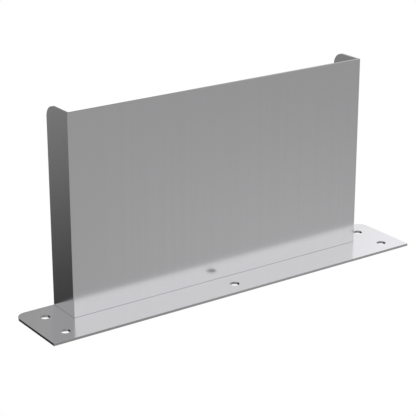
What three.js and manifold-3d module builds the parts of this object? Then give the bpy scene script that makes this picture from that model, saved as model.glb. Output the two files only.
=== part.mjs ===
// A bolt-down upright shield in satin stainless sheet.
// One sheet is folded into a wide front panel with a return at each end. It is grooved before it is
// folded, so its corners are sharp. It stands on a flat base plate, with its panel along the middle of
// the plate, and is stitch-welded to it from behind. The plate has five bolt holes.
//
// Units are millimetres. The origin is the centre of the base plate's underside, +X runs along the
// plate, -Y is the front and +Z is up.

import * as THREE from 'three';
import { mergeVertices } from 'three/addons/utils/BufferGeometryUtils.js';
import Module from 'manifold-3d';

// Driving dimensions ------------------------------------------------------------------------------

const SHEET = 3; // thickness of both sheets

const BASE_LENGTH = 500;
const BASE_DEPTH = 89;
const BASE_REAR_CORNER_RADIUS = 12.5; // the front corners are square

const BOLT_HOLE_DIAMETER = 11; // clearance for an M10 bolt
const BOLT_HOLE_FROM_END = 25.5;
const BOLT_HOLE_FROM_FRONT = 20.5;
const BOLT_HOLE_FROM_REAR = 24;

const SHIELD_LENGTH = 400;
const SHIELD_HEIGHT = 232.5;
const RETURN_DEPTH = 45; // from the panel's front face to the returns' rear edges
const RETURN_CORNER_RADIUS = 14.5; // top rear corner of each return
const BEND_OUTER_RADIUS = 0.8;
const BEND_INNER_RADIUS = 0.5;

const ROOT_GAP = 0.3; // open joint between the shield's foot and the base plate

const WELD_LEG = 3.5;
const WELD_LENGTH = 26;
const WELD_BULGE = 0.25; // how far the bead's face swells, as a part of its leg
const PANEL_WELD_COUNT = 5;
const PANEL_WELD_PITCH = 84;
const RETURN_WELD_LENGTH = 10;
const RETURN_WELD_COUNT = 2;
const RETURN_WELD_PITCH = 18;

const HOLE_STEPS = 40; // straight steps round a bolt hole
const CORNER_STEPS = 12; // straight steps round a quarter of a corner
const BEND_STEPS = 8;
const BEAD_STEPS = 6;

// Worked out from them ----------------------------------------------------------------------------

const halfLength = BASE_LENGTH / 2;
const frontEdge = -BASE_DEPTH / 2;
const rearEdge = BASE_DEPTH / 2;
const holeX = halfLength - BOLT_HOLE_FROM_END;
const frontHoleY = frontEdge + BOLT_HOLE_FROM_FRONT;
const rearHoleY = rearEdge - BOLT_HOLE_FROM_REAR;

const shieldHalf = SHIELD_LENGTH / 2;
const panelFront = rearEdge - RETURN_DEPTH;
const panelBack = panelFront + SHEET;
const shieldFoot = SHEET + ROOT_GAP;
const shieldTop = shieldFoot + SHIELD_HEIGHT;

const returnMiddle = (panelBack + BEND_INNER_RADIUS + rearEdge) / 2;

// Helpers -----------------------------------------------------------------------------------------

const wasm = await Module();
wasm.setup();

const degrees = THREE.MathUtils.degToRad;

// Points along an arc, both ends included.
function arc(x, y, radius, fromDegrees, toDegrees, steps) {
  const points = [];
  for (let step = 0; step <= steps; step += 1) {
    const angle = degrees(THREE.MathUtils.lerp(fromDegrees, toDegrees, step / steps));
    points.push(new THREE.Vector2(x + radius * Math.cos(angle), y + radius * Math.sin(angle)));
  }
  return points;
}

function point(x, y) {
  return new THREE.Vector2(x, y);
}

// A flat outline made solid along the third axis.
function extrude(outline, depth) {
  return new THREE.ExtrudeGeometry(outline, { depth, bevelEnabled: false, steps: 1 });
}

// Turns a solid so that the outline's own x, y and depth run along three given axes.
function layAlong(geometry, outlineX, outlineY, depthAxis) {
  return geometry.applyMatrix4(new THREE.Matrix4().makeBasis(outlineX, outlineY, depthAxis));
}

const X = new THREE.Vector3(1, 0, 0);
const Y = new THREE.Vector3(0, 1, 0);
const Z = new THREE.Vector3(0, 0, 1);

function toManifold(geometry) {
  const bare = geometry.clone();
  bare.deleteAttribute('normal');
  bare.deleteAttribute('uv');
  const merged = mergeVertices(bare);
  return new wasm.Manifold(new wasm.Mesh({
    numProp: 3,
    vertProperties: new Float32Array(merged.attributes.position.array),
    triVerts: new Uint32Array(merged.index.array),
  }));
}

function toGeometry(manifold) {
  const result = manifold.getMesh();
  const geometry = new THREE.BufferGeometry();
  geometry.setAttribute('position', new THREE.BufferAttribute(result.vertProperties, 3));
  geometry.setIndex(new THREE.BufferAttribute(result.triVerts, 1));
  geometry.computeVertexNormals();
  return geometry;
}

// Materials ---------------------------------------------------------------------------------------

function satinStainless() {
  return new THREE.MeshStandardMaterial({ color: 0xc6c7ca, roughness: 0.28, metalness: 1 });
}

function weldMetal() {
  return new THREE.MeshStandardMaterial({ color: 0xa8a49e, roughness: 0.45, metalness: 1 });
}

// Sub-parts ---------------------------------------------------------------------------------------

// The bolt holes: two at each end, and one in the middle of the front edge.
function boltHolePlaces() {
  return [
    point(-holeX, frontHoleY),
    point(-holeX, rearHoleY),
    point(holeX, frontHoleY),
    point(holeX, rearHoleY),
    point(0, frontHoleY),
  ];
}

function boltHole(place) {
  return new THREE.Path(arc(place.x, place.y, BOLT_HOLE_DIAMETER / 2, 360, 0, HOLE_STEPS).slice(1));
}

function basePlate() {
  const cornerX = halfLength - BASE_REAR_CORNER_RADIUS;
  const cornerY = rearEdge - BASE_REAR_CORNER_RADIUS;
  const outline = new THREE.Shape([
    point(-halfLength, frontEdge),
    point(halfLength, frontEdge),
    ...arc(cornerX, cornerY, BASE_REAR_CORNER_RADIUS, 0, 90, CORNER_STEPS),
    ...arc(-cornerX, cornerY, BASE_REAR_CORNER_RADIUS, 90, 180, CORNER_STEPS),
  ]);
  outline.holes = boltHolePlaces().map(boltHole);
  return extrude(outline, SHEET);
}

// One face of the folded sheet in plan: a return, a bend, the panel, a bend and a return.
function foldedLine(halfWidth, front, radius) {
  return [
    point(-halfWidth, rearEdge),
    ...arc(-halfWidth + radius, front + radius, radius, 180, 270, BEND_STEPS),
    ...arc(halfWidth - radius, front + radius, radius, 270, 360, BEND_STEPS),
    point(halfWidth, rearEdge),
  ];
}

function foldedPlan() {
  const outerFace = foldedLine(shieldHalf, panelFront, BEND_OUTER_RADIUS);
  const innerFace = foldedLine(shieldHalf - SHEET, panelBack, BEND_INNER_RADIUS);
  return new THREE.Shape([...outerFace, ...innerFace.reverse()]);
}

// What the rounding takes off the top rear corner of both returns, right across the shield.
function returnCornerCutter() {
  const spare = 5; // how far the cutter runs past the sheet
  const centreY = rearEdge - RETURN_CORNER_RADIUS;
  const centreZ = shieldTop - RETURN_CORNER_RADIUS;
  const outline = new THREE.Shape([
    point(rearEdge + spare, centreZ),
    point(rearEdge + spare, shieldTop + spare),
    point(centreY, shieldTop + spare),
    ...arc(centreY, centreZ, RETURN_CORNER_RADIUS, 90, 0, CORNER_STEPS),
  ]);
  const cutter = extrude(outline, SHIELD_LENGTH + 2 * spare);
  return layAlong(cutter, Y, Z, X).translate(-shieldHalf - spare, 0, 0);
}

function foldedShield() {
  const folded = extrude(foldedPlan(), SHIELD_HEIGHT).translate(0, 0, shieldFoot);
  return toGeometry(toManifold(folded).subtract(toManifold(returnCornerCutter())));
}

// A fillet bead that fills the corner between a wall and the plate. It is drawn from the corner,
// outwards from the wall and upwards from the plate, with a swollen face.
function bead(length) {
  const face = [];
  for (let step = 0; step <= BEAD_STEPS; step += 1) {
    const along = step / BEAD_STEPS;
    const swell = 1 + WELD_BULGE * Math.sin(Math.PI * along);
    face.push(point(WELD_LEG * (1 - along) * swell, WELD_LEG * along * swell));
  }
  return extrude(new THREE.Shape([point(0, 0), ...face]), length).translate(0, 0, -length / 2);
}

function panelWeld() {
  return layAlong(bead(WELD_LENGTH), Y, Z, X);
}

// side is -1 for the left return's inner face and 1 for the right one's.
function returnWeld(side) {
  const outwards = X.clone().multiplyScalar(-side);
  const along = Y.clone().multiplyScalar(side);
  return layAlong(bead(RETURN_WELD_LENGTH), outwards, Z, along);
}

// Evenly spaced places either side of a middle.
function spaced(middle, pitch, count) {
  return Array.from({ length: count }, (_, index) => middle + pitch * (index - (count - 1) / 2));
}

// Assembly ----------------------------------------------------------------------------------------

const shield = new THREE.Group();

function addPiece(name, geometry, material, x = 0, y = 0, z = 0) {
  const mesh = new THREE.Mesh(geometry, material);
  mesh.name = name;
  mesh.position.set(x, y, z);
  shield.add(mesh);
}

addPiece('base_plate', basePlate(), satinStainless());
addPiece('folded_shield', foldedShield(), satinStainless());

spaced(0, PANEL_WELD_PITCH, PANEL_WELD_COUNT).forEach((x, index) => {
  addPiece(`panel_weld_${index + 1}`, panelWeld(), weldMetal(), x, panelBack, SHEET);
});

for (const [name, side] of [['left', -1], ['right', 1]]) {
  const wallX = side * (shieldHalf - SHEET);
  spaced(returnMiddle, RETURN_WELD_PITCH, RETURN_WELD_COUNT).forEach((y, index) => {
    addPiece(`${name}_return_weld_${index + 1}`, returnWeld(side), weldMetal(), wallX, y, SHEET);
  });
}

export default shield;
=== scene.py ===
"""The looks of a bolt-down shield: satin stainless sheet, folded and stitch-welded to a base plate.

Everything is in metres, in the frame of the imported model: +X along the plate, -Y the front, +Z up.
"""

import math

import bmesh
import bpy
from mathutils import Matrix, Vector


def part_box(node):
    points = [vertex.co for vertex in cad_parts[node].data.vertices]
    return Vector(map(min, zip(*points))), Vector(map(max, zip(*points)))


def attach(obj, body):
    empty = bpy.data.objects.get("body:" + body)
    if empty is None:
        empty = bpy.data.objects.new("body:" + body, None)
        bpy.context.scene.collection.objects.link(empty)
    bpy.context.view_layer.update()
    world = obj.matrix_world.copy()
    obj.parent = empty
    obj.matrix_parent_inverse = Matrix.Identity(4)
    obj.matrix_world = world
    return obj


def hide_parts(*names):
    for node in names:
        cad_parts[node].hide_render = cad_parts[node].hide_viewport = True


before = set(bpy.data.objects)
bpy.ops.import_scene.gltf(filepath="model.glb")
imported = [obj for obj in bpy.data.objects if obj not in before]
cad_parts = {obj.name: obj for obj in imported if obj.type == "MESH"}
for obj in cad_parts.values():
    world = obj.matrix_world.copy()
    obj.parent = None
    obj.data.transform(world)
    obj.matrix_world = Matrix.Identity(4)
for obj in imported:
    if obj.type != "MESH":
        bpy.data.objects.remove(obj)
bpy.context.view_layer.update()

# Sizes of the metal ---------------------------------------------------------------------------------

BASE_LOW, BASE_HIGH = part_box("base_plate")
SHIELD_LOW, SHIELD_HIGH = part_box("folded_shield")
SHEET = BASE_HIGH.z - BASE_LOW.z

BASE_REAR_CORNER_RADIUS = 0.0125
BASE_FRONT_CORNER_RADIUS = 0.0006
BOLT_HOLE_RADIUS = 0.0055
BOLT_HOLE_FROM_END = 0.0255
BOLT_HOLE_FROM_FRONT = 0.0205
BOLT_HOLE_FROM_REAR = 0.024

BEND_OUTER_RADIUS = 0.0008
BEND_INNER_RADIUS = 0.0005
RETURN_CORNER_RADIUS = 0.0145
FOOT_GAP = 0.0001  # hairline between the shield's foot and the plate
DEBURR = 0.0001  # rounding left on every cut edge
EDGE_GUARD = 0.0002  # narrow strip that keeps a rounding's shading off the flat beside it
BEND_GUARD = 0.0005

WELD_LEG = 0.0035
WELD_SWELL = 0.3  # how far a bead's face swells, as a part of its leg
WELD_END = 0.25  # how thick a bead is at its very ends, as a part of its middle
WELD_SINK = 0.00015  # how far a bead reaches into the sheets it joins
RIPPLE_PITCH = 0.0011
RIPPLE_HEIGHT = 0.05  # as a part of the leg
RIPPLE_LAG = 0.9  # how far a ripple's middle trails its ends, in pitches
HEAT_REACH = 0.008  # how far the heat tint spreads from a bead

# How finely curves are cut
ROUND_STEPS = 3
CORNER_STEPS = 28
HOLE_STEPS = 96
BEND_STEPS = 12
PANEL_COLUMNS = 20
RETURN_COLUMNS = 4
PLAIN_ROWS = 12
RIPPLE_STEPS = 8
BEAD_FACE_STEPS = 12

# Meshes ---------------------------------------------------------------------------------------------

FLAT, EDGE = 0, 1  # material slots: sheet face and cut edge


def piece_from(bm, name, materials, nodes):
    """Makes a bmesh a piece that stands for CAD nodes and rides with them."""
    bmesh.ops.recalc_face_normals(bm, faces=bm.faces)
    mesh = bpy.data.meshes.new(name)
    bm.to_mesh(mesh)
    bm.free()
    for material in materials:
        mesh.materials.append(material)
    piece = bpy.data.objects.new(name, mesh)
    bpy.context.scene.collection.objects.link(piece)
    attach(piece, "root")
    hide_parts(*nodes)
    return piece


def strip(bm, ring_a, ring_b, smooth=True, slot=EDGE):
    """Quads between two closed rings of the same length."""
    for index in range(len(ring_a)):
        after = (index + 1) % len(ring_a)
        face = bm.faces.new((ring_a[index], ring_a[after], ring_b[after], ring_b[index]))
        face.smooth = smooth
        face.material_index = slot


def rim_profile():
    """(inset, depth) across a cut edge with both corners rounded, from face to face of the sheet."""
    profile = []
    for step in range(ROUND_STEPS + 1):
        angle = math.pi / 2 * step / ROUND_STEPS
        profile.append((DEBURR * (1 - math.sin(angle)), DEBURR * (1 - math.cos(angle))))
    profile.append((0, DEBURR + EDGE_GUARD))
    return profile + [(inset, SHEET - depth) for inset, depth in reversed(profile)]


def arc(centre, radius, start, end, steps):
    """Points on an arc in the XY plane, both ends included. Angles are in degrees."""
    angles = [math.radians(start + (end - start) * step / steps) for step in range(steps + 1)]
    return [(centre[0] + radius * math.cos(a), centre[1] + radius * math.sin(a)) for a in angles]


def base_outline(inset):
    """The plate's outline, brought in by inset."""
    points = []
    corners = (
        (BASE_HIGH.x, BASE_LOW.y, BASE_FRONT_CORNER_RADIUS, 270),
        (BASE_HIGH.x, BASE_HIGH.y, BASE_REAR_CORNER_RADIUS, 0),
        (BASE_LOW.x, BASE_HIGH.y, BASE_REAR_CORNER_RADIUS, 90),
        (BASE_LOW.x, BASE_LOW.y, BASE_FRONT_CORNER_RADIUS, 180),
    )
    for x, y, radius, start in corners:
        centre = (x - math.copysign(radius, x), y - math.copysign(radius, y))
        points += arc(centre, radius - inset, start, start + 90, CORNER_STEPS)
    return points


def bolt_hole_places():
    """Two holes at each end, and one in the middle of the front edge."""
    x = BASE_HIGH.x - BOLT_HOLE_FROM_END
    front = BASE_LOW.y + BOLT_HOLE_FROM_FRONT
    rear = BASE_HIGH.y - BOLT_HOLE_FROM_REAR
    return [(-x, front), (-x, rear), (x, front), (x, rear), (0, front)]


def base_plate(materials):
    bm = bmesh.new()
    profile = rim_profile()

    def ring(points, depth):
        return [bm.verts.new((x, y, BASE_HIGH.z - depth)) for x, y in points]

    walls = [[ring(base_outline(inset), depth) for inset, depth in profile]]
    for place in bolt_hole_places():
        walls.append([
            ring(arc(place, BOLT_HOLE_RADIUS + inset, 0, 360, HOLE_STEPS)[:-1], depth)
            for inset, depth in profile
        ])
    for rings in walls:
        for ring_a, ring_b in zip(rings, rings[1:]):
            strip(bm, ring_a, ring_b)
    for end in (0, -1):
        edges = []
        for rings in walls:
            loop = rings[end]
            edges += [bm.edges.get((loop[i - 1], loop[i])) for i in range(len(loop))]
        filled = bmesh.ops.triangle_fill(bm, use_beauty=True, use_dissolve=False, edges=edges)
        for face in filled["geom"]:
            if isinstance(face, bmesh.types.BMFace):
                face.smooth = False
                face.material_index = FLAT
    return piece_from(bm, "base_plate_sheet", materials, ["base_plate"])


class FoldedSheet:
    """The shield as one flat blank that is bent at two upright lines.

    u runs along its outer face from the middle of the panel, v is height, and w is depth below the
    outer face. The bends are grooved from behind, so their outer and inner curves aren't concentric.
    """

    bend_start = SHIELD_HIGH.x - BEND_OUTER_RADIUS
    bend_end = bend_start + BEND_OUTER_RADIUS * math.pi / 2
    return_flat = SHIELD_HIGH.y - SHIELD_LOW.y - BEND_OUTER_RADIUS
    half_blank = bend_end + return_flat

    def squeezed(self, distance, outer_end, inner_end):
        """A face's flat stops at inner_end instead of outer_end, and its last stretch makes room."""
        start = outer_end - 2 * SHEET
        if distance <= start:
            return distance
        return start + (distance - start) * (inner_end - start) / (outer_end - start)

    def on_face(self, along, depth, radius):
        """(x, y) on the right half of the face that lies depth below the outer face."""
        corner_x = SHIELD_HIGH.x - depth
        corner_y = SHIELD_LOW.y + depth
        if along <= self.bend_start:
            return Vector((self.squeezed(along, self.bend_start, corner_x - radius), corner_y))
        if along >= self.bend_end:
            ahead = self.half_blank - along
            flat = SHIELD_HIGH.y - corner_y - radius
            return Vector((corner_x, SHIELD_HIGH.y - self.squeezed(ahead, self.return_flat, flat)))
        angle = (along - self.bend_start) / BEND_OUTER_RADIUS
        x = corner_x - radius * (1 - math.sin(angle))
        return Vector((x, corner_y + radius * (1 - math.cos(angle))))

    def place(self, u, v, w):
        """Where a point of the blank is once it is folded."""
        outer = self.on_face(abs(u), 0, BEND_OUTER_RADIUS)
        inner = self.on_face(abs(u), SHEET, BEND_INNER_RADIUS)
        x, y = outer.lerp(inner, w / SHEET)
        return Vector((math.copysign(x, u), y, v))

    def rows(self, inset):
        """(v, half width) of each row of the blank, whose top corners are round."""
        corner_v = SHIELD_HIGH.z - RETURN_CORNER_RADIUS
        corner_u = self.half_blank - RETURN_CORNER_RADIUS
        radius = RETURN_CORNER_RADIUS - inset
        foot = BASE_HIGH.z + FOOT_GAP + inset
        rows = []
        for step in range(PLAIN_ROWS):
            rows.append((foot + (corner_v - foot) * step / PLAIN_ROWS, self.half_blank - inset))
        for step in range(CORNER_STEPS + 1):
            angle = math.pi / 2 * step / CORNER_STEPS
            rows.append((corner_v + radius * math.sin(angle), corner_u + radius * math.cos(angle)))
        return rows

    def columns(self, half_width):
        """u of each column in a row: a return, a bend, the panel, a bend and a return."""
        right = [self.bend_start - BEND_GUARD]
        for step in range(BEND_STEPS + 1):
            right.append(self.bend_start + (self.bend_end - self.bend_start) * step / BEND_STEPS)
        right_flat = self.bend_end + BEND_GUARD
        right.append(right_flat)
        for step in range(1, RETURN_COLUMNS + 1):
            share = step / RETURN_COLUMNS
            right.append(right_flat + (half_width - right_flat) * share)
        span = self.bend_start - BEND_GUARD
        panel = [span * (2 * step / PANEL_COLUMNS - 1) for step in range(1, PANEL_COLUMNS)]
        return [-u for u in reversed(right)] + panel + right

    def grid(self, inset):
        return [[(u, v) for u in self.columns(half_width)] for v, half_width in self.rows(inset)]

    def border(self, grid):
        """The grid's outermost entries, in order round the blank."""
        right = [row[-1] for row in grid[1:-1]]
        left = [row[0] for row in grid[1:-1]]
        return grid[0] + right + grid[-1][::-1] + left[::-1]

    def curved(self, u_a, u_b):
        """Whether the strip between two columns lies in a bend or beside it."""
        middle = abs(u_a + u_b) / 2
        return self.bend_start - BEND_GUARD < middle < self.bend_end + BEND_GUARD


def folded_shield(materials):
    bm = bmesh.new()
    sheet = FoldedSheet()
    profile = rim_profile()
    faces = []
    for inset, depth in (profile[0], profile[-1]):
        grid = sheet.grid(inset)
        verts = [[bm.verts.new(sheet.place(u, v, depth)) for u, v in row] for row in grid]
        for row in range(len(grid) - 1):
            for col in range(len(grid[0]) - 1):
                face = bm.faces.new((
                    verts[row][col], verts[row][col + 1], verts[row + 1][col + 1], verts[row + 1][col],
                ))
                face.smooth = sheet.curved(grid[row][col][0], grid[row][col + 1][0])
                face.material_index = FLAT
        faces.append(sheet.border(verts))
    rings = [faces[0]]
    for inset, depth in profile[1:-1]:
        rings.append([
            bm.verts.new(sheet.place(u, v, depth)) for u, v in sheet.border(sheet.grid(inset))
        ])
    rings.append(faces[1])
    for ring_a, ring_b in zip(rings, rings[1:]):
        strip(bm, ring_a, ring_b)
    return piece_from(bm, "folded_shield_sheet", materials, ["folded_shield"])


def weld_names():
    return sorted(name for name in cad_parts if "_weld_" in name)


def weld_bead(name, material):
    """A rippled fillet bead in the corner between the plate and the wall behind it."""
    low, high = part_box(name)
    along_x = high.x - low.x > high.y - low.y
    length = high.x - low.x if along_x else high.y - low.y
    if along_x:
        start, along, out = Vector((low.x, low.y, low.z)), Vector((1, 0, 0)), Vector((0, 1, 0))
    elif low.x < 0:
        start, along, out = Vector((low.x, low.y, low.z)), Vector((0, 1, 0)), Vector((1, 0, 0))
    else:
        start, along, out = Vector((high.x, low.y, low.z)), Vector((0, 1, 0)), Vector((-1, 0, 0))
    steps = round(length / RIPPLE_PITCH) * RIPPLE_STEPS
    bm = bmesh.new()
    rings = []
    for step in range(steps + 1):
        s = length * step / steps
        from_end = min(s, length - s) / WELD_LEG
        taper = WELD_END + (1 - WELD_END) * math.sqrt(1 - (1 - min(from_end, 1)) ** 2)
        # The bead's size wanders a little along it, and differently in each bead.
        wander = 0.04 * math.sin(s * 900 + low.x * 700) + 0.03 * math.sin(s * 2300 + low.y * 900)
        ring = []
        for turn in range(BEAD_FACE_STEPS + 1):
            q = turn / BEAD_FACE_STEPS
            hump = math.sin(math.pi * q)
            phase = 2 * math.pi * (s / RIPPLE_PITCH + RIPPLE_LAG * hump)
            ripple = RIPPLE_HEIGHT * hump * (0.5 + 0.5 * math.cos(phase)) ** 2
            reach = WELD_LEG * taper * (1 + wander) * (1 + WELD_SWELL * hump + ripple)
            point = start + along * s
            point += out * (reach * (1 - q) - WELD_SINK * q)
            point += Vector((0, 0, 1)) * (reach * q - WELD_SINK * (1 - q))
            ring.append(bm.verts.new(point))
        ring.append(bm.verts.new(start + along * s - (out + Vector((0, 0, 1))) * WELD_SINK))
        rings.append(ring)
    for ring_a, ring_b in zip(rings, rings[1:]):
        strip(bm, ring_a, ring_b, slot=0)
    bm.faces.new(rings[0])
    bm.faces.new(rings[-1])
    return piece_from(bm, name + "_bead", [material], [name])


# Materials ------------------------------------------------------------------------------------------


class Nodes:
    """Short calls for building a node tree."""

    def __init__(self, tree):
        self.tree = tree

    def add(self, kind, **settings):
        node = self.tree.nodes.new(kind)
        for key, value in settings.items():
            setattr(node, key, value)
        return node

    def feed(self, socket, value):
        if isinstance(value, bpy.types.NodeSocket):
            self.tree.links.new(value, socket)
        else:
            socket.default_value = value

    def math(self, operation, *values):
        node = self.add("ShaderNodeMath", operation=operation)
        for socket, value in zip(node.inputs, values):
            self.feed(socket, value)
        return node.outputs[0]

    def vector(self, operation, *values, output=0):
        node = self.add("ShaderNodeVectorMath", operation=operation)
        for socket, value in zip(node.inputs, values):
            self.feed(socket, value)
        return node.outputs[output]

    def ramp(self, value, low, high, to_low, to_high, kind="LINEAR"):
        node = self.add("ShaderNodeMapRange", interpolation_type=kind)
        for socket, entry in zip(node.inputs, (value, low, high, to_low, to_high)):
            self.feed(socket, entry)
        return node.outputs["Result"]

    def mix(self, share, colour_a, colour_b):
        node = self.add("ShaderNodeMix", data_type="RGBA")
        self.feed(node.inputs["Factor"], share)
        self.feed(node.inputs["A"], colour_a)
        self.feed(node.inputs["B"], colour_b)
        return node.outputs["Result"]

    def noise(self, place, grain, detail=2.0):
        """Noise whose features are about grain = (x, y, z) metres long."""
        scaled = self.vector("DIVIDE", place, grain)
        node = self.add("ShaderNodeTexNoise")
        node.inputs["Scale"].default_value = 1.0
        node.inputs["Detail"].default_value = detail
        self.feed(node.inputs["Vector"], scaled)
        return node.outputs["Fac"]


def new_material(name):
    material = bpy.data.materials.new(name)
    material.use_nodes = True
    nodes = Nodes(material.node_tree)
    shader = material.node_tree.nodes["Principled BSDF"]
    shader.inputs["Metallic"].default_value = 1.0
    place = nodes.add("ShaderNodeTexCoord").outputs["Object"]
    return material, nodes, shader, place


def bump(nodes, shader, height, distance):
    node = nodes.add("ShaderNodeBump")
    node.inputs["Distance"].default_value = distance
    node.inputs["Strength"].default_value = 1.0
    nodes.feed(node.inputs["Height"], height)
    nodes.feed(shader.inputs["Normal"], node.outputs["Normal"])


STEEL = (0.602, 0.601, 0.612, 1)
STEEL_WORN = (0.594, 0.593, 0.603, 1)
# The plate's cut edge is darker partly as cut steel and partly by painted shade, for the floor's contact
# shadow that its low edges see in reflection.
CUT_STEEL_AND_SHADE = (0.46, 0.461, 0.468, 1)
CUT_STEEL_AND_SHADE_DARK = (0.40, 0.40, 0.405, 1)
SHIELD_EDGE_STEEL = (0.31, 0.31, 0.315, 1)  # the shield's edges are darker than the plate's
SHIELD_EDGE_STEEL_DARK = (0.26, 0.26, 0.265, 1)
STRAW_TINT = (0.56, 0.45, 0.29, 1)
BLUE_TINT = (0.36, 0.38, 0.47, 1)
BEAD_STEEL = (0.50, 0.48, 0.45, 1)
BEAD_SHADE = (0.30, 0.28, 0.27, 1)


def heat_share(nodes, place):
    """1 beside a weld bead, falling to 0 a few millimetres away, on the welded side only."""
    uneven = nodes.noise(place, (0.004, 0.004, 0.004))
    share = 0.0
    for name in weld_names():
        low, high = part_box(name)
        centre = (low + high) / 2
        offset = nodes.vector("ABSOLUTE", nodes.vector("SUBTRACT", place, tuple(centre)))
        beyond = nodes.vector("SUBTRACT", offset, tuple((high - low) / 2))
        outside = nodes.vector("MAXIMUM", beyond, (0, 0, 0))
        distance = nodes.vector("LENGTH", outside, output="Value")
        beside = nodes.ramp(distance, 0, HEAT_REACH, 1, 0, "SMOOTHSTEP")
        share = nodes.math("MAXIMUM", share, beside)
    share = nodes.math("MULTIPLY", share, nodes.ramp(uneven, 0.3, 0.7, 0.65, 1))
    split = nodes.add("ShaderNodeSeparateXYZ")
    nodes.feed(split.inputs[0], place)
    behind_panel = nodes.math("GREATER_THAN", split.outputs["Y"], SHIELD_LOW.y + SHEET / 2)
    above_plate = nodes.math("GREATER_THAN", split.outputs["Z"], BASE_HIGH.z - SHEET / 2)
    width = nodes.math("ABSOLUTE", split.outputs["X"])
    between_returns = nodes.math("LESS_THAN", width, SHIELD_HIGH.x - SHEET / 2)
    inside = nodes.math("MULTIPLY", nodes.math("MULTIPLY", behind_panel, above_plate), between_returns)
    return nodes.math("MULTIPLY", share, inside)


def satin_stainless(name, fine_grain, broad_grain):
    """Satin sheet. The two grains say how long its polishing lines are along X, Y and Z."""
    material, nodes, shader, place = new_material(name)
    fine = nodes.noise(place, fine_grain, detail=3)
    broad = nodes.noise(place, broad_grain)
    heat = heat_share(nodes, place)
    colour = nodes.mix(nodes.ramp(broad, 0.35, 0.65, 0, 1), STEEL, STEEL_WORN)
    colour = nodes.mix(nodes.ramp(heat, 0.1, 0.55, 0, 0.8), colour, STRAW_TINT)
    colour = nodes.mix(nodes.ramp(heat, 0.55, 0.95, 0, 0.8), colour, BLUE_TINT)
    nodes.feed(shader.inputs["Base Color"], colour)
    nodes.feed(shader.inputs["Roughness"], nodes.ramp(fine, 0.3, 0.7, 0.165, 0.185))
    bump(nodes, shader, fine, 0.0000005)
    return material


def cut_edge(name, light, dark):
    """The laser-cut edge of the sheet: darker than its faces, and finely marked. The plate's edge
    colours also carry painted shade.
    """
    material, nodes, shader, place = new_material(name)
    marks = nodes.noise(place, (0.0003, 0.0003, 0.0006), detail=3)
    nodes.feed(shader.inputs["Base Color"], nodes.mix(marks, light, dark))
    nodes.feed(shader.inputs["Roughness"], nodes.ramp(marks, 0.3, 0.7, 0.10, 0.15))
    bump(nodes, shader, marks, 0.000002)
    return material


def weld_metal():
    material, nodes, shader, place = new_material("weld_metal")
    stain = nodes.noise(place, (0.002, 0.002, 0.002), detail=4)
    nodes.feed(shader.inputs["Base Color"], nodes.mix(stain, BEAD_STEEL, BEAD_SHADE))
    nodes.feed(shader.inputs["Roughness"], nodes.ramp(stain, 0.3, 0.7, 0.28, 0.45))
    bump(nodes, shader, nodes.noise(place, (0.0003, 0.0003, 0.0003)), 0.00001)
    return material


# Studio ---------------------------------------------------------------------------------------------

BACKDROP = (1, 1, 1, 1)
NO_TINT = (1, 1, 1, 1)
FLOOR_RADIUS = 8
FLOOR_DROP = 0.0002  # how far the floor lies below the plate, so that they don't touch

CAMERA_LENS = 123.9  # in mm, on a 36 mm sensor
CAMERA_HEADING = (-35.075, 20.105)  # azimuth and elevation that the camera looks from
CAMERA_AIM = (-0.04189, 0, 0.18676)  # as parts of the plate's length, as is the distance
CAMERA_DISTANCE = 3.2622


def heading(azimuth, elevation):
    """Unit vector towards a place in the studio. Azimuth 0 is the front, 90 the right."""
    a, e = math.radians(azimuth), math.radians(elevation)
    return Vector((math.sin(a) * math.cos(e), -math.cos(a) * math.cos(e), math.sin(e)))


# What the metal reflects. Tones blend from the ground's to the sky's across the horizon, and soft
# patches lie on each, every one over those before it: (azimuth, elevation, inner and outer half
# angle in degrees, tone). The last sky patch has a colour of its own.
HORIZON = (-5, 7)  # elevations where the blend starts and ends
SKY_TONE = 0.80
RIM_SOFTBOX = (108, 32, 20, 40)
RIM_TINT = (1.012, 1.0, 1.03, 1)
SKY_PATCHES = (
    (172, 22, 16, 34, 0.45),  # gap behind
    (38, 28, 22, 50, 1.62),  # key softbox, front right
    (*RIM_SOFTBOX, 1.45),
)
GROUND_NEAR_HORIZON = (-14.3, 0.467)  # (elevation, tone)
GROUND_BELOW = (-22.5, 0.651)
UNDERNEATH_STARTS = -35
UNDERNEATH = (-60, 0.45)
GROUND_PATCHES = (
    (-6, -12, 27, 45, 0.469),  # duller floor in front
    (-116.7, -27, 7.5, 25.6, 0.045),  # dark wall, left
    (-145.5, -39.5, 13.7, 30.4, 0.027),  # dark corner, back left
)


def height_of(elevation):
    return math.sin(math.radians(elevation))


def blend(nodes, share, below, above):
    """Plain numbers blended by a share. The world's tones are grey until it is tinted at the end."""
    rest = nodes.math("SUBTRACT", 1.0, share)
    return nodes.math("ADD", nodes.math("MULTIPLY", share, above), nodes.math("MULTIPLY", rest, below))


def patch_share(nodes, towards, azimuth, elevation, inner, outer):
    """1 inside a round soft patch of the studio, falling to 0 at its outer half angle."""
    facing = nodes.vector("DOT_PRODUCT", towards, tuple(heading(azimuth, elevation)), output="Value")
    inner_cosine, outer_cosine = math.cos(math.radians(inner)), math.cos(math.radians(outer))
    return nodes.ramp(facing, outer_cosine, inner_cosine, 0, 1, "SMOOTHSTEP")


def with_patches(nodes, tone, towards, patches):
    for *shape, patch_tone in patches:
        tone = blend(nodes, patch_share(nodes, towards, *shape), tone, patch_tone)
    return tone


def ground_tone(nodes, height):
    low, low_tone = GROUND_BELOW
    high, high_tone = GROUND_NEAR_HORIZON
    tone = nodes.ramp(height, height_of(low), height_of(high), low_tone, high_tone, "SMOOTHSTEP")
    deepest, deepest_tone = UNDERNEATH
    open_share = nodes.ramp(height, height_of(deepest), height_of(UNDERNEATH_STARTS), 0, 1, "SMOOTHSTEP")
    return blend(nodes, open_share, deepest_tone, tone)


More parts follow.
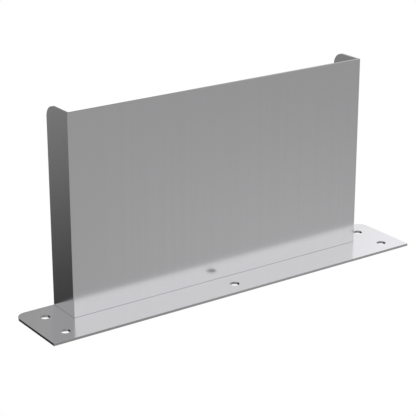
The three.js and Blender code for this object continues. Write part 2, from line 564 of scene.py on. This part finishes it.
def studio_world():
    world = bpy.data.worlds.new("studio")
    bpy.context.scene.world = world
    world.use_nodes = True
    nodes = Nodes(world.node_tree)
    towards = nodes.vector("NORMALIZE", nodes.add("ShaderNodeTexCoord").outputs["Generated"])
    split = nodes.add("ShaderNodeSeparateXYZ")
    nodes.feed(split.inputs[0], towards)
    height = split.outputs["Z"]
    ground = with_patches(nodes, ground_tone(nodes, height), towards, GROUND_PATCHES)
    sky = with_patches(nodes, SKY_TONE, towards, SKY_PATCHES)
    start, end = HORIZON
    above = nodes.ramp(height, height_of(start), height_of(end), 0, 1, "SMOOTHSTEP")
    tone = blend(nodes, above, ground, sky)
    tint = nodes.mix(patch_share(nodes, towards, *RIM_SOFTBOX), NO_TINT, RIM_TINT)
    light = nodes.vector("MULTIPLY", tint, tone)
    seen_by_camera = nodes.add("ShaderNodeLightPath").outputs["Is Camera Ray"]
    background = world.node_tree.nodes["Background"]
    nodes.feed(background.inputs["Color"], nodes.mix(seen_by_camera, light, BACKDROP))


def pale_floor():
    """A floor as plain as the backdrop. The metal reflects the studio's ground instead of it."""
    bm = bmesh.new()
    bmesh.ops.create_circle(bm, cap_ends=True, segments=64, radius=FLOOR_RADIUS)
    mesh = bpy.data.meshes.new("floor")
    bm.to_mesh(mesh)
    bm.free()
    material = bpy.data.materials.new("pale_floor")
    material.use_nodes = True
    shader = material.node_tree.nodes["Principled BSDF"]
    shader.inputs["Base Color"].default_value = (0, 0, 0, 1)
    shader.inputs["Specular IOR Level"].default_value = 0
    shader.inputs["Emission Color"].default_value = BACKDROP
    shader.inputs["Emission Strength"].default_value = 1.0
    mesh.materials.append(material)
    floor = bpy.data.objects.new("floor", mesh)
    floor.location.z = BASE_LOW.z - FLOOR_DROP
    floor.visible_glossy = False
    floor.visible_diffuse = False
    bpy.context.scene.collection.objects.link(floor)


def camera():
    base_length = BASE_HIGH.x - BASE_LOW.x
    data = bpy.data.cameras.new("camera")
    data.sensor_width = 36
    data.lens = CAMERA_LENS
    cam = bpy.data.objects.new("camera", data)
    bpy.context.scene.collection.objects.link(cam)
    aim = Vector(CAMERA_AIM) * base_length
    back = heading(*CAMERA_HEADING)
    cam.location = aim + back * (CAMERA_DISTANCE * base_length)
    cam.rotation_euler = (-back).to_track_quat("-Z", "Y").to_euler()
    bpy.context.scene.camera = cam


# Assembly -------------------------------------------------------------------------------------------

UPRIGHT_GRAIN = ((0.0004, 0.0004, 0.05), (0.006, 0.006, 0.4))
LENGTHWISE_GRAIN = ((0.05, 0.0004, 0.0004), (0.4, 0.006, 0.006))

plate_edge = cut_edge("plate_edge", CUT_STEEL_AND_SHADE, CUT_STEEL_AND_SHADE_DARK)
shield_edge = cut_edge("shield_edge", SHIELD_EDGE_STEEL, SHIELD_EDGE_STEEL_DARK)
base_plate([satin_stainless("satin_plate", *LENGTHWISE_GRAIN), plate_edge])
folded_shield([satin_stainless("satin_shield", *UPRIGHT_GRAIN), shield_edge])
bead_metal = weld_metal()
for weld in weld_names():
    weld_bead(weld, bead_metal)

bpy.context.scene.view_settings.view_transform = "Standard"
studio_world()
pale_floor()
camera()

bpy.context.view_layer.update()
